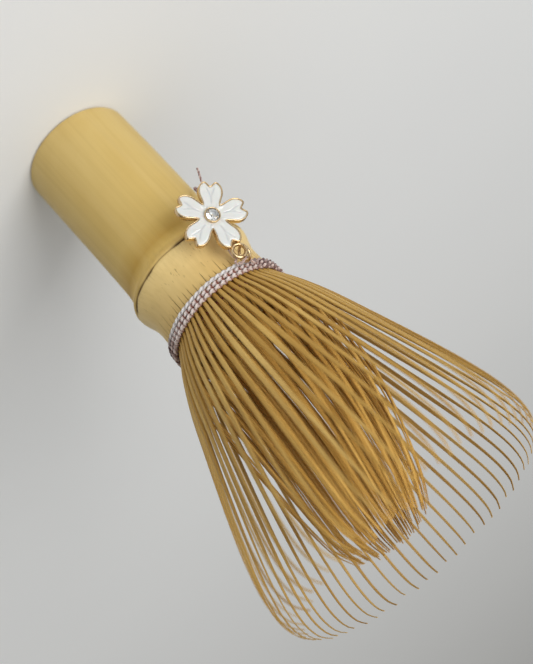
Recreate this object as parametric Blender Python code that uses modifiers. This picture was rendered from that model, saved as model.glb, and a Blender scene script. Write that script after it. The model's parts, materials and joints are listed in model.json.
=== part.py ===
"""Bamboo tea whisk with a small blossom charm tied to its binding.

Metres, +Z up. The whisk stands on the cut end of its handle: the origin is the centre of that flat end, and
the tines point up. The charm hangs on the front, the -Y side. The tines are split from the same cane as the
handle; here they start just above the handle's upper rim, under the binding, where each bundle of tines
bends.
"""

import math

import bmesh
import bpy
from mathutils import Matrix, Vector

MM = 0.001
ROUND_STEPS = 40

# Handle: a length of bamboo with one node. Radii, then heights above the cut end.
HANDLE_RADIUS = 12.35 * MM
HANDLE_BORE_RADIUS = 8.7 * MM
NODE_RIDGE_RADIUS = 14.0 * MM
WAIST_RADIUS = 12.65 * MM
RIM_RADIUS = 12.9 * MM
RIM_BORE_RADIUS = 11.0 * MM
CUT_EDGE_ROUND = 0.4 * MM
SEPTUM_BOTTOM = 38.3 * MM
SEPTUM_TOP = 41.3 * MM
NODE_RIDGE_HEIGHT = 42.3 * MM
WAIST_HEIGHT = 47.0 * MM
RIM_HEIGHT = 53.6 * MM

# Tines: two rows, each of 16 bundles that share a root, with four tines to a bundle.
BUNDLES = 16
TINES_PER_BUNDLE = 4
ROOT_BOTTOM = 53.9 * MM
ROOT_TOP = 55.9 * MM
ROOT_SIDE_GAP = 0.3 * MM
OUTER_ROOT_RADII = (12.3 * MM, 13.0 * MM)
INNER_ROOT_RADII = (11.3 * MM, 11.95 * MM)
OUTER_TINE_WIDTHS = (0.62 * MM, 0.46 * MM)
INNER_TINE_WIDTHS = (0.52 * MM, 0.30 * MM)
# Radius and height along one outer tine, from its root to the inward curl of its tip.
OUTER_TINE_PATH = (
    (12.65, 54.4),
    (12.75, 55.4),
    (16.0, 60.8),
    (21.0, 75.3),
    (25.9, 90.9),
    (29.3, 104.8),
    (29.1, 111.0),
    (26.3, 114.4),
)
# Radius, height and sideways shift along one inner tine; the shift is the lean of the inner bundle.
INNER_TINE_PATH = (
    (11.62, 54.4, 0.0),
    (11.54, 55.4, 0.0),
    (11.0, 62.0, 0.3),
    (11.0, 76.0, 0.8),
    (10.5, 92.0, 2.4),
    (9.0, 105.5, 4.5),
    (6.8, 110.8, 4.9),
)
INNER_LEAN_AZIMUTH = math.radians(37.0)
INNER_STAGGER = 0.8

# Binding: a thread wound three times round the outer roots, and one round between the two rows.
BINDING_TURNS = 3
BINDING_RADIUS = 13.66 * MM
BINDING_THREAD_RADIUS = 0.46 * MM
BINDING_PITCH = 1.05 * MM
BINDING_FIRST_HEIGHT = 53.05 * MM
BINDING_CROSSOVER = 0.15
BINDING_START_AZIMUTH = math.radians(100.0)
SPACER_RADIUS = 12.45 * MM
SPACER_THREAD_RADIUS = 0.3 * MM
SPACER_HEIGHT = 57.0 * MM

# Jump ring and the tie thread that holds it against the binding.
JUMP_RING_CENTRE = Vector((0.0, -16.25 * MM, 53.2 * MM))
JUMP_RING_RADIUS = 1.6 * MM
JUMP_RING_WIRE_RADIUS = 0.3 * MM
TIE_THREAD_RADIUS = 0.24 * MM
TIE_POINT = Vector((0.0, -15.95 * MM, 53.95 * MM))

# Charm: a five-petal plate in its own frame, with +Y towards the eyelet and +Z out of its face.
CHARM_EYELET_CENTRE = Vector((0.0, -16.1 * MM, 51.9 * MM))
CHARM_OUTWARD_TILT = math.radians(18.8)
CHARM_SIDE_TILT = math.radians(11.9)
CHARM_ROLL = math.radians(5.5)
CHARM_EYELET_DISTANCE = 8.8 * MM
PETALS = 5
PETAL_VALLEY_RADIUS = 2.95 * MM
PETAL_FLANK = (2.1 * MM, 3.6 * MM)
PETAL_SIDE = (2.48 * MM, 5.0 * MM)
PETAL_SHOULDER = (2.2 * MM, 6.45 * MM)
PETAL_LOBE = (1.15 * MM, 7.3 * MM)
PETAL_NOTCH_RADIUS = 6.35 * MM
CHARM_BACK = -0.9 * MM
CHARM_FLOOR = -0.1 * MM
CHARM_RIM_TOP = 0.75 * MM
CHARM_RIM_WIDTH = 0.34 * MM
ENAMEL_GAP = 0.08 * MM
ENAMEL_TOP = 0.6 * MM
BEZEL_RADIUS = 1.68 * MM
BEZEL_BORE_RADIUS = 1.36 * MM
BEZEL_TOP = 1.15 * MM
CRYSTAL_RADIUS = 1.26 * MM
CRYSTAL_TABLE_RADIUS = 0.7 * MM
CRYSTAL_TOP = 1.45 * MM
EYELET_RADIUS = 1.35 * MM
EYELET_WIRE_RADIUS = 0.35 * MM
EYELET_NECK_WIDTH = 1.9 * MM


def clear_scene():
    for thing in list(bpy.data.objects):
        bpy.data.objects.remove(thing, do_unlink=True)


def material(name, colour, roughness, metallic=0.0):
    mat = bpy.data.materials.new(name)
    mat.use_nodes = True
    shader = mat.node_tree.nodes["Principled BSDF"]
    shader.inputs["Base Color"].default_value = (*colour, 1.0)
    shader.inputs["Roughness"].default_value = roughness
    shader.inputs["Metallic"].default_value = metallic
    mat.diffuse_color = (*colour, 1.0)
    return mat


def add_object(name, data, mat, collection):
    thing = bpy.data.objects.new(name, data)
    if mat is not None and not data.materials:
        data.materials.append(mat)
    collection.objects.link(thing)
    return thing


def shade_round(mesh):
    mesh.shade_smooth()
    mesh.set_sharp_from_angle(angle=math.radians(35.0))


def polar(radius, azimuth, height):
    return Vector((radius * math.cos(azimuth), radius * math.sin(azimuth), height))


def thread_curve(name, points, radius, closed=False, sides_resolution=1, widths=None):
    """A tube along straight steps between the points; widths scale it from point to point."""
    curve = bpy.data.curves.new(name, "CURVE")
    curve.dimensions = "3D"
    curve.bevel_depth = radius
    curve.bevel_resolution = sides_resolution
    curve.use_fill_caps = True
    spline = curve.splines.new("POLY")
    spline.points.add(len(points) - 1)
    spline.use_cyclic_u = closed
    for index, point in enumerate(points):
        spline.points[index].co = (*point, 1.0)
        spline.points[index].radius = widths[index] if widths else 1.0
    return curve


def flat_curve(name, outlines, bottom, top):
    """A flat plate between two heights; the first outline is its edge and the others are holes."""
    curve = bpy.data.curves.new(name, "CURVE")
    curve.dimensions = "2D"
    curve.fill_mode = "BOTH"
    curve.extrude = (top - bottom) / 2.0
    for outline in outlines:
        spline = curve.splines.new("POLY")
        spline.points.add(len(outline) - 1)
        spline.use_cyclic_u = True
        for index, (x, y) in enumerate(outline):
            spline.points[index].co = (x, y, 0.0, 1.0)
    return curve


def mesh_from_curve(curve, collection, lift=0.0):
    """The curve's own surface as a welded mesh; the curve is removed."""
    thing = bpy.data.objects.new(curve.name, curve)
    thing.location.z = lift
    collection.objects.link(thing)
    bpy.context.view_layer.update()
    depsgraph = bpy.context.evaluated_depsgraph_get()
    mesh = bpy.data.meshes.new_from_object(thing.evaluated_get(depsgraph))
    mesh.transform(thing.matrix_world)
    bpy.data.objects.remove(thing, do_unlink=True)
    bpy.data.curves.remove(curve)
    weld(mesh)
    return mesh


def plate(name, outlines, bottom, top, collection):
    curve = flat_curve(name, outlines, bottom, top)
    return mesh_from_curve(curve, collection, lift=(top + bottom) / 2.0)


def weld(mesh):
    shape = bmesh.new()
    shape.from_mesh(mesh)
    bmesh.ops.remove_doubles(shape, verts=shape.verts, dist=0.001 * MM)
    bmesh.ops.recalc_face_normals(shape, faces=shape.faces)
    shape.to_mesh(mesh)
    shape.free()


def combine(base_mesh, steps, collection):
    """Applies Boolean steps, each an operation and a mesh, to the base and returns the result."""
    base = bpy.data.objects.new("base", base_mesh)
    collection.objects.link(base)
    tools = []
    for operation, tool_mesh in steps:
        tool = bpy.data.objects.new("tool", tool_mesh)
        tool.hide_render = True
        tool.display_type = "WIRE"
        collection.objects.link(tool)
        cut = base.modifiers.new(operation.lower(), "BOOLEAN")
        cut.operation = operation
        cut.solver = "EXACT"
        cut.object = tool
        tools.append(tool)
    bpy.context.view_layer.update()
    depsgraph = bpy.context.evaluated_depsgraph_get()
    result = bpy.data.meshes.new_from_object(base.evaluated_get(depsgraph))
    for thing in [base, *tools]:
        bpy.data.objects.remove(thing, do_unlink=True)
    return result


def handle(mat, collection):
    """The turned handle: bore, septum, upper bore, rim, waist, node ridge and plain grip."""
    profile = (
        (0.0, SEPTUM_TOP),
        (HANDLE_BORE_RADIUS, SEPTUM_TOP + 0.3 * MM),
        (RIM_BORE_RADIUS, WAIST_HEIGHT + 2.0 * MM),
        (RIM_BORE_RADIUS, RIM_HEIGHT),
        (RIM_RADIUS, RIM_HEIGHT),
        (WAIST_RADIUS, WAIST_HEIGHT),
        (WAIST_RADIUS + 0.3 * MM, NODE_RIDGE_HEIGHT + 2.0 * MM),
        (NODE_RIDGE_RADIUS, NODE_RIDGE_HEIGHT),
        (NODE_RIDGE_RADIUS - 0.3 * MM, NODE_RIDGE_HEIGHT - 1.5 * MM),
        (HANDLE_RADIUS + 0.4 * MM, NODE_RIDGE_HEIGHT - 4.0 * MM),
        (HANDLE_RADIUS, NODE_RIDGE_HEIGHT - 7.5 * MM),
        (HANDLE_RADIUS, CUT_EDGE_ROUND),
        (HANDLE_RADIUS - CUT_EDGE_ROUND, 0.0),
        (HANDLE_BORE_RADIUS, 0.0),
        (HANDLE_BORE_RADIUS, SEPTUM_BOTTOM),
        (0.0, SEPTUM_BOTTOM),
    )
    mesh = bpy.data.meshes.new("handle")
    points = [(radius, 0.0, height) for radius, height in profile]
    mesh.from_pydata(points, [(i, i + 1) for i in range(len(points) - 1)], [])
    thing = add_object("handle", mesh, mat, collection)
    turn = thing.modifiers.new("turned", "SCREW")
    turn.steps = ROUND_STEPS
    turn.render_steps = ROUND_STEPS
    turn.use_merge_vertices = True
    turn.merge_threshold = 0.001 * MM
    turn.use_smooth_shade = True
    return thing


def root_segment(name, radii, collection):
    """A short arc of cane wall that joins one bundle's tines at the root, centred on +X."""
    inside, outside = radii
    middle = (inside + outside) / 2.0
    half_angle = math.pi / BUNDLES - ROOT_SIDE_GAP / (2.0 * middle)
    steps = 4
    angles = [half_angle * (2.0 * i / steps - 1.0) for i in range(steps + 1)]
    outline = [(outside * math.cos(a), outside * math.sin(a)) for a in angles]
    outline += [(inside * math.cos(a), inside * math.sin(a)) for a in reversed(angles)]
    return plate(name, [outline], ROOT_BOTTOM, ROOT_TOP, collection)


def tine_azimuth(index):
    """The angle of one tine from the middle of its bundle."""
    return (index - (TINES_PER_BUNDLE - 1) / 2.0) * math.tau / (BUNDLES * TINES_PER_BUNDLE)


def tine_mesh(name, points, widths, collection):
    """A square tapered strip; widths are its sides at the root and at the tip."""
    root, tip = widths
    last = len(points) - 1
    scales = [1.0 + (tip / root - 1.0) * i / last for i in range(len(points))]
    curve = thread_curve(name, points, root / math.sqrt(2.0), sides_resolution=0, widths=scales)
    for point in curve.splines[0].points:
        point.tilt = math.pi / 4.0
    return mesh_from_curve(curve, collection)


def outer_bundle_mesh(collection):
    """One outer bundle centred on +X of its own frame; every outer bundle has this shape."""
    steps = []
    for index in range(TINES_PER_BUNDLE):
        azimuth = tine_azimuth(index)
        points = [polar(radius * MM, azimuth, height * MM) for radius, height in OUTER_TINE_PATH]
        steps.append(("UNION", tine_mesh("outer_tine", points, OUTER_TINE_WIDTHS, collection)))
    return combine(root_segment("outer_root", OUTER_ROOT_RADII, collection), steps, collection)


def inner_bundle_mesh(bundle_azimuth, collection):
    """One inner bundle centred on +X of its own frame, with the lean turned into that frame."""
    lean = polar(1.0, INNER_LEAN_AZIMUTH - bundle_azimuth, 0.0)
    steps = []
    for index in range(TINES_PER_BUNDLE):
        azimuth = tine_azimuth(index)
        inset = INNER_STAGGER if index % 2 else 1.0
        points = []
        for number, (radius, height, shift) in enumerate(INNER_TINE_PATH):
            share = 1.0 if number < 2 else inset
            points.append(polar(radius * share * MM, azimuth, height * MM) + lean * shift * MM)
        steps.append(("UNION", tine_mesh("inner_tine", points, INNER_TINE_WIDTHS, collection)))
    return combine(root_segment("inner_root", INNER_ROOT_RADII, collection), steps, collection)


def bundle_azimuths():
    """The middles of the bundles; a gap between two bundles faces the front."""
    return [math.radians(-90.0) + (i + 0.5) * math.tau / BUNDLES for i in range(BUNDLES)]


def hinge_empty(name, azimuth, radii, collection):
    """An empty on a bundle's hinge: +X points outwards and the hinge runs along its Y."""
    hinge = bpy.data.objects.new(name, None)
    hinge.location = polar(sum(radii) / 2.0, azimuth, ROOT_BOTTOM)
    hinge.rotation_euler.z = azimuth
    collection.objects.link(hinge)
    return hinge


def place_on_hinge(thing, hinge, radii):
    thing.parent = hinge
    thing.location = (-sum(radii) / 2.0, 0.0, -ROOT_BOTTOM)


def tine_bundles(mat, collection):
    for number, azimuth in enumerate(bundle_azimuths(), start=1):
        outer_mesh = outer_bundle_mesh(collection)
        outer = add_object(f"outer_tines_{number:02d}", outer_mesh, mat, collection)
        hinge = hinge_empty(f"outer_hinge_{number:02d}", azimuth, OUTER_ROOT_RADII, collection)
        place_on_hinge(outer, hinge, OUTER_ROOT_RADII)
        inner_mesh = inner_bundle_mesh(azimuth, collection)
        inner = add_object(f"inner_tines_{number:02d}", inner_mesh, mat, collection)
        hinge = hinge_empty(f"inner_hinge_{number:02d}", azimuth, INNER_ROOT_RADII, collection)
        place_on_hinge(inner, hinge, INNER_ROOT_RADII)


def binding_height(turn):
    """Level rows, with a short climb to the next row at the end of every turn but the last."""
    row = min(int(turn), BINDING_TURNS - 1)
    climb = 0.0
    if row < BINDING_TURNS - 1:
        climb = max(0.0, (turn - row - 1.0 + BINDING_CROSSOVER) / BINDING_CROSSOVER)
    return BINDING_FIRST_HEIGHT + BINDING_PITCH * (row + climb)


def binding_thread(mat, collection):
    """Three close turns of thread round the roots of the outer tines."""
    steps_per_turn = 32
    points = []
    for step in range(BINDING_TURNS * steps_per_turn + 1):
        turn = step / steps_per_turn
        azimuth = BINDING_START_AZIMUTH + math.tau * turn
        points.append(polar(BINDING_RADIUS, azimuth, binding_height(turn)))
    curve = thread_curve("binding_thread", points, BINDING_THREAD_RADIUS)
    return add_object("binding_thread", mesh_from_curve(curve, collection), mat, collection)


def spacer_thread(mat, collection):
    """One round of thread that holds the inner row of tines off the outer row."""
    steps = 32
    points = [polar(SPACER_RADIUS, math.tau * i / steps, SPACER_HEIGHT) for i in range(steps)]
    curve = thread_curve("spacer_thread", points, SPACER_THREAD_RADIUS, closed=True, sides_resolution=0)
    return add_object("spacer_thread", mesh_from_curve(curve, collection), mat, collection)


def thread_piece(name, path, mat, collection):
    points = [Vector(point) * MM for point in path]
    curve = thread_curve(name, points, TIE_THREAD_RADIUS)
    return add_object(name, mesh_from_curve(curve, collection), mat, collection)


def tie_threads(mat, collection):
    """The thread that runs through the jump ring and under the charm, and its short second end."""
    through_ring = TIE_POINT / MM
    thread_piece(
        "charm_tie_thread",
        (
            (-1.9, -14.42, 54.9),
            (-1.2, -14.75, 54.4),
            (-0.5, -15.65, 54.0),
            through_ring,
            (0.5, -15.65, 53.9),
            (1.2, -14.75, 53.4),
            (1.5, -14.55, 52.4),
            (1.6, -14.0, 51.2),
            (1.6, -14.4, 48.0),
            (0.9, -15.0, 44.4),
            (-0.3, -15.1, 41.8),
            (-2.2, -14.9, 38.6),
            (-3.9, -14.9, 36.0),
            (-4.9, -15.6, 33.6),
            (-5.3, -16.7, 31.6),
            (-5.4, -17.8, 30.1),
        ),
        mat,
        collection,
    )
    thread_piece(
        "charm_thread_end",
        (
            (-1.9, -14.35, 40.8),
            (-3.6, -13.7, 37.2),
            (-4.7, -13.4, 34.4),
            (-5.2, -13.1, 32.2),
            (-5.9, -12.4, 30.5),
            (-7.2, -11.3, 29.4),
            (-8.6, -10.1, 28.9),
        ),
        mat,
        collection,
    )


def jump_ring(mat, collection):
    bpy.ops.mesh.primitive_torus_add(
        major_segments=20,
        minor_segments=6,
        major_radius=JUMP_RING_RADIUS,
        minor_radius=JUMP_RING_WIRE_RADIUS,
        rotation=(0.0, math.pi / 2.0, 0.0),
    )
    made = bpy.context.object
    mesh = made.data
    mesh.transform(made.matrix_world.to_3x3().to_4x4())
    bpy.data.objects.remove(made, do_unlink=True)
    shade_round(mesh)
    hinge = bpy.data.objects.new("jump_ring_hinge", None)
    hinge.location = TIE_POINT
    collection.objects.link(hinge)
    thing = add_object("jump_ring", mesh, mat, collection)
    thing.parent = hinge
    thing.location = JUMP_RING_CENTRE - TIE_POINT
    return thing


def turned_point(x, y, angle):
    return (x * math.cos(angle) - y * math.sin(angle), x * math.sin(angle) + y * math.cos(angle))


def petal_outline(inset):
    """The blossom's edge, moved in by inset: each petal is a valley, then flank, side, shoulder, lobe, notch."""
    half = [
        (PETAL_FLANK[0] - inset, PETAL_FLANK[1] + inset * 0.2),
        (PETAL_SIDE[0] - inset, PETAL_SIDE[1]),
        (PETAL_SHOULDER[0] - inset * 0.9, PETAL_SHOULDER[1] - inset * 0.4),
        (PETAL_LOBE[0], PETAL_LOBE[1] - inset),
    ]
    notch = (0.0, PETAL_NOTCH_RADIUS - inset)
    petal = half + [notch] + [(-x, y) for x, y in reversed(half)]
    valley = (0.0, PETAL_VALLEY_RADIUS - inset * 1.4)
    outline = []
    for number in range(PETALS):
        turn = math.tau * number / PETALS
        outline.append(turned_point(*valley, turn - math.pi / PETALS))
        outline += [turned_point(x, y, turn) for x, y in petal]
    return outline


def circle(radius, steps=20):
    return [(radius * math.cos(math.tau * i / steps), radius * math.sin(math.tau * i / steps)) for i in range(steps)]


def eyelet_mesh():
    bpy.ops.mesh.primitive_torus_add(
        major_segments=20,
        minor_segments=8,
        major_radius=EYELET_RADIUS,
        minor_radius=EYELET_WIRE_RADIUS,
        location=(0.0, CHARM_EYELET_DISTANCE, 0.0),
    )
    made = bpy.context.object
    mesh = made.data
    mesh.transform(Matrix.Translation(made.location))
    bpy.data.objects.remove(made, do_unlink=True)
    return mesh


def eyelet_neck(collection):
    """A short tongue from the petal's notch to the eyelet."""
    half = EYELET_NECK_WIDTH / 2.0
    low = PETAL_NOTCH_RADIUS - 0.31 * MM
    high = CHARM_EYELET_DISTANCE - EYELET_RADIUS + 0.15 * MM
    outline = [(-half, low), (half, low), (half, high), (-half, high)]
    return plate("eyelet_neck", [outline], CHARM_BACK + 0.23 * MM, CHARM_FLOOR - 0.07 * MM, collection)


def charm_base(mat, collection):
    """The cast plate: back, raised rim, cup for the crystal and eyelet, all one casting."""
    back = plate("charm_base", [petal_outline(0.0)], CHARM_BACK, CHARM_RIM_TOP, collection)
    pocket = plate("pocket", [petal_outline(CHARM_RIM_WIDTH)], CHARM_FLOOR, 3.0 * MM, collection)
    cup = plate("cup", [circle(BEZEL_RADIUS)], CHARM_BACK + 0.3 * MM, BEZEL_TOP, collection)
    cup_bore = plate("cup_bore", [circle(BEZEL_BORE_RADIUS)], CHARM_FLOOR + 0.1 * MM, 3.0 * MM, collection)
    steps = [
        ("DIFFERENCE", pocket),
        ("UNION", cup),
        ("DIFFERENCE", cup_bore),
        ("UNION", eyelet_neck(collection)),
        ("UNION", eyelet_mesh()),
    ]
    return add_object("charm_base", combine(back, steps, collection), mat, collection)


def charm_enamel(mat, collection):
    outlines = [petal_outline(CHARM_RIM_WIDTH + ENAMEL_GAP), circle(BEZEL_RADIUS + ENAMEL_GAP)]
    mesh = plate("charm_enamel", outlines, CHARM_FLOOR + ENAMEL_GAP, ENAMEL_TOP, collection)
    return add_object("charm_enamel", mesh, mat, collection)


def charm_crystal(mat, collection):
    """A low faceted stone: a girdle with a smaller flat table above it."""
    shape = bmesh.new()
    depth = CRYSTAL_TOP - CHARM_FLOOR - 0.2 * MM
    bmesh.ops.create_cone(
        shape,
        cap_ends=True,
        segments=12,
        radius1=CRYSTAL_RADIUS,
        radius2=CRYSTAL_TABLE_RADIUS,
        depth=depth,
        matrix=Matrix.Translation((0.0, 0.0, CRYSTAL_TOP - depth / 2.0)),
    )
    mesh = bpy.data.meshes.new("charm_crystal")
    shape.to_mesh(mesh)
    shape.free()
    return add_object("charm_crystal", mesh, mat, collection)


def charm(gold, enamel, crystal, collection):
    """The charm's pieces hang on an empty at the ring's centre, the hinge they swing on."""
    hinge = bpy.data.objects.new("charm_hinge", None)
    hinge.location = JUMP_RING_CENTRE
    collection.objects.link(hinge)
    stand = Matrix.Rotation(math.pi / 2.0, 4, "X")
    tilt = Matrix.Rotation(-CHARM_OUTWARD_TILT, 4, "X")
    side = Matrix.Rotation(CHARM_SIDE_TILT, 4, "Z")
    roll = Matrix.Rotation(CHARM_ROLL, 4, "Z")
    lean = side @ tilt @ stand @ roll
    centre = CHARM_EYELET_CENTRE - lean @ Vector((0.0, CHARM_EYELET_DISTANCE, 0.0))
    placed = Matrix.Translation(centre - JUMP_RING_CENTRE) @ lean
    for thing in (
        charm_base(gold, collection),
        charm_enamel(enamel, collection),
        charm_crystal(crystal, collection),
    ):
        thing.parent = hinge
        thing.matrix_local = placed


def main():
    clear_scene()
    collection = bpy.data.collections.new("bamboo_tea_whisk")
    bpy.context.scene.collection.children.link(collection)
    bamboo = material("bamboo", (0.58, 0.42, 0.16), 0.45)
    split_bamboo = material("split_bamboo", (0.47, 0.32, 0.10), 0.5)
    pale_thread = material("pale_thread", (0.62, 0.50, 0.48), 0.85)
    plum_thread = material("plum_thread", (0.30, 0.17, 0.18), 0.85)
    gold = material("gold_plate", (0.83, 0.60, 0.27), 0.2, metallic=1.0)
    enamel = material("white_enamel", (0.85, 0.85, 0.84), 0.12)
    crystal = material("clear_crystal", (0.9, 0.92, 0.92), 0.03)
    handle(bamboo, collection)
    tine_bundles(split_bamboo, collection)
    binding_thread(pale_thread, collection)
    spacer_thread(plum_thread, collection)
    tie_threads(plum_thread, collection)
    jump_ring(gold, collection)
    charm(gold, enamel, crystal, collection)


main()
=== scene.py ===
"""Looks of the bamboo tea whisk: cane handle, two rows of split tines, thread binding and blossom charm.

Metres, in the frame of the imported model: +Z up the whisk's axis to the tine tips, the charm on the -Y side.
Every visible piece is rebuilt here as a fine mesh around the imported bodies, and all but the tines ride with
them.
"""

import json
import math
import random

import bmesh
import bpy
from mathutils import Matrix, Vector, noise


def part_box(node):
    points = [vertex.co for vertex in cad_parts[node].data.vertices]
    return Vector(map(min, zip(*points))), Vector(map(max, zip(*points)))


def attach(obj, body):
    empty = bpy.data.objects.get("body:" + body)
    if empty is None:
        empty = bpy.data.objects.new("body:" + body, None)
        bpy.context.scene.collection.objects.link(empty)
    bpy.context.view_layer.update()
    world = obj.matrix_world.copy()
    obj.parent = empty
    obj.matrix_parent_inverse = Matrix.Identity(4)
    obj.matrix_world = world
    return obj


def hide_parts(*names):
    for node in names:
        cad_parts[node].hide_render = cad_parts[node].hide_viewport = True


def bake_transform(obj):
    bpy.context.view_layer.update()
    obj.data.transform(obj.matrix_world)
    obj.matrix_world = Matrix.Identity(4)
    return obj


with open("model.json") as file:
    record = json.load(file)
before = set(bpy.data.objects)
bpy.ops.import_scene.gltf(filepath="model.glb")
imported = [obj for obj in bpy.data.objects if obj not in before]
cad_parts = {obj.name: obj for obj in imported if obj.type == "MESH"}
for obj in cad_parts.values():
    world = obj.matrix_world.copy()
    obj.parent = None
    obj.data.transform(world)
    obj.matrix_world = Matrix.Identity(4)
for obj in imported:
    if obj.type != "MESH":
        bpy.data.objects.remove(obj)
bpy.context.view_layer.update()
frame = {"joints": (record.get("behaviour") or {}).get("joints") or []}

MM = 0.001
ROOT_BODY = "handle"
FRONT = math.radians(-90.0)

# The cane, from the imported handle's own box.
CANE_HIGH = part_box("handle")[1]
RIM_HEIGHT = CANE_HIGH.z
RIDGE_RADIUS = CANE_HIGH.x
GRIP_RADIUS = RIDGE_RADIUS - 1.65 * MM
WAIST_RADIUS = RIDGE_RADIUS - 1.35 * MM
RIM_RADIUS = RIDGE_RADIUS - 1.1 * MM
SCAR_HEIGHT = 42.0 * MM
BORE_RADIUS = 8.7 * MM
UPPER_BORE_RADIUS = 11.0 * MM
SEPTUM_BOTTOM = 38.3 * MM
SEPTUM_TOP = 41.3 * MM

# The tines.
BUNDLES = 16
TINES_PER_BUNDLE = 4
TINES = BUNDLES * TINES_PER_BUNDLE
PITCH = math.tau / TINES


def smooth(low, high, value):
    share = min(1.0, max(0.0, (value - low) / (high - low)))
    return share * share * (3.0 - 2.0 * share)


def mix(a, b, share):
    return a + (b - a) * share


def held(value, limit):
    return max(-limit, min(limit, value))


def polar(radius, azimuth, height=0.0):
    return Vector((radius * math.cos(azimuth), radius * math.sin(azimuth), height))


def smooth_path(knots):
    """A function from a share, 0 to 1, of the length to a point on the smooth curve through the knots."""
    places = [0.0]
    for a, b in zip(knots, knots[1:]):
        places.append(places[-1] + math.dist(a, b))
    slopes = []
    for i in range(len(knots)):
        low, high = max(i - 1, 0), min(i + 1, len(knots) - 1)
        slopes.append(tuple((b - a) / (places[high] - places[low]) for a, b in zip(knots[low], knots[high])))

    def at(share):
        place = min(max(share, 0.0), 1.0) * places[-1]
        span = 0
        while span < len(knots) - 2 and places[span + 1] < place:
            span += 1
        reach = places[span + 1] - places[span]
        t = (place - places[span]) / reach
        weights = (
            2 * t**3 - 3 * t**2 + 1,
            (t**3 - 2 * t**2 + t) * reach,
            3 * t**2 - 2 * t**3,
            (t**3 - t**2) * reach,
        )
        parts = zip(knots[span], slopes[span], knots[span + 1], slopes[span + 1])
        return tuple(sum(w * v for w, v in zip(weights, part)) for part in parts)

    return at


def value_at(knots, place):
    """The value at a place, from (place, value) knots joined by smooth steps."""
    if place <= knots[0][0]:
        return knots[0][1]
    for (low, a), (high, b) in zip(knots, knots[1:]):
        if place <= high:
            return mix(a, b, smooth(low, high, place))
    return knots[-1][1]


def smooth_profile(knots):
    """A smooth function of height through (height, value) knots."""
    slopes = []
    for i in range(len(knots)):
        (low, a), (high, b) = knots[max(i - 1, 0)], knots[min(i + 1, len(knots) - 1)]
        slopes.append((b - a) / (high - low))

    def at(height):
        span = 0
        while span < len(knots) - 2 and knots[span + 1][0] < height:
            span += 1
        (low, a), (high, b) = knots[span], knots[span + 1]
        reach = high - low
        t = min(1.0, max(0.0, (height - low) / reach))
        rise = (t**3 - 2 * t**2 + t) * slopes[span] + (t**3 - t**2) * slopes[span + 1]
        return mix(a, b, smooth(low, high, height)) + rise * reach

    return at


# ---- meshes


def add_object(name, data):
    thing = bpy.data.objects.new(name, data)
    bpy.context.scene.collection.objects.link(thing)
    return thing


def stand_for(thing, node, body):
    """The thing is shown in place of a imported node, and rides on a body."""
    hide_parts(node)
    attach(thing, body)


class Skin:
    """Collects rings of points into one closed mesh, with lengths along and around as UVs."""

    def __init__(self, name):
        self.name = name
        self.points = []
        self.faces = []
        self.uvs = []
        self.slots = []
        self.values = {}

    def ring(self, points, **values):
        start = len(self.points)
        self.points += points
        for key, value in values.items():
            stored = self.values.setdefault(key, {})
            for index in range(len(points)):
                stored[start + index] = value[index] if isinstance(value, (list, tuple)) else value
        return start

    def bridge(self, start_a, start_b, count, along_a, along_b, slot=0):
        for j in range(count):
            k = (j + 1) % count
            self.faces.append((start_a + j, start_a + k, start_b + k, start_b + j))
            v0, v1 = j / count, (j + 1) / count
            self.uvs.append(((along_a, v0), (along_a, v1), (along_b, v1), (along_b, v0)))
            self.slots.append(slot)

    def cap(self, start, count, along, flip=False, slot=0):
        order = list(range(start, start + count))
        if flip:
            order.reverse()
        self.faces.append(tuple(order))
        self.uvs.append(tuple((along, i / count) for i in range(count)))
        self.slots.append(slot)

    def tube(self, rings, closed=False, **values):
        """Rings of equal count, joined in order; values hold one entry, or one list, per ring."""
        count = len(rings[0])
        starts = []
        for index, points in enumerate(rings):
            own = {key: value[index] for key, value in values.items()}
            starts.append(self.ring(points, **own))
        along = [0.0]
        for a, b in zip(rings, rings[1:]):
            along.append(along[-1] + (b[0] - a[0]).length / MM)
        for index in range(len(rings) - 1):
            self.bridge(starts[index], starts[index + 1], count, along[index], along[index + 1])
        if closed:
            self.bridge(starts[-1], starts[0], count, along[-1], along[-1] + 1.0)
        else:
            self.cap(starts[0], count, along[0], flip=True)
            self.cap(starts[-1], count, along[-1])

    def build(self, materials, sharp_degrees=38.0):
        mesh = bpy.data.meshes.new(self.name)
        mesh.from_pydata(self.points, [], self.faces)
        layer = mesh.uv_layers.new(name="along_around")
        flat = [value for face in self.uvs for pair in face for value in pair]
        layer.data.foreach_set("uv", flat)
        mesh.polygons.foreach_set("material_index", self.slots)
        for key, stored in self.values.items():
            coloured = isinstance(next(iter(stored.values())), Vector)
            layer = mesh.attributes.new(key, "FLOAT_COLOR" if coloured else "FLOAT", "POINT")
            for index, value in stored.items():
                if coloured:
                    layer.data[index].color = (*value, 1.0)
                else:
                    layer.data[index].value = value
        for mat in materials:
            mesh.materials.append(mat)
        mesh.shade_smooth()
        mesh.set_sharp_from_angle(angle=math.radians(sharp_degrees))
        thing = add_object(self.name, mesh)
        face_outwards(mesh)
        return thing


def face_outwards(mesh):
    shape = bmesh.new()
    shape.from_mesh(mesh)
    bmesh.ops.recalc_face_normals(shape, faces=shape.faces)
    shape.to_mesh(mesh)
    shape.free()


def carried_frames(points, closed=False):
    """Two cross directions at each point of a path, carried along it without twisting."""
    count = len(points)
    tangents = []
    for i in range(count):
        if closed:
            step = points[(i + 1) % count] - points[i - 1]
        else:
            step = points[min(i + 1, count - 1)] - points[max(i - 1, 0)]
        tangents.append(step.normalized())
    side = tangents[0].orthogonal().normalized()
    frames = []
    for tangent in tangents:
        side = (side - tangent * side.dot(tangent)).normalized()
        frames.append((side, tangent.cross(side)))
    return frames


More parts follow.
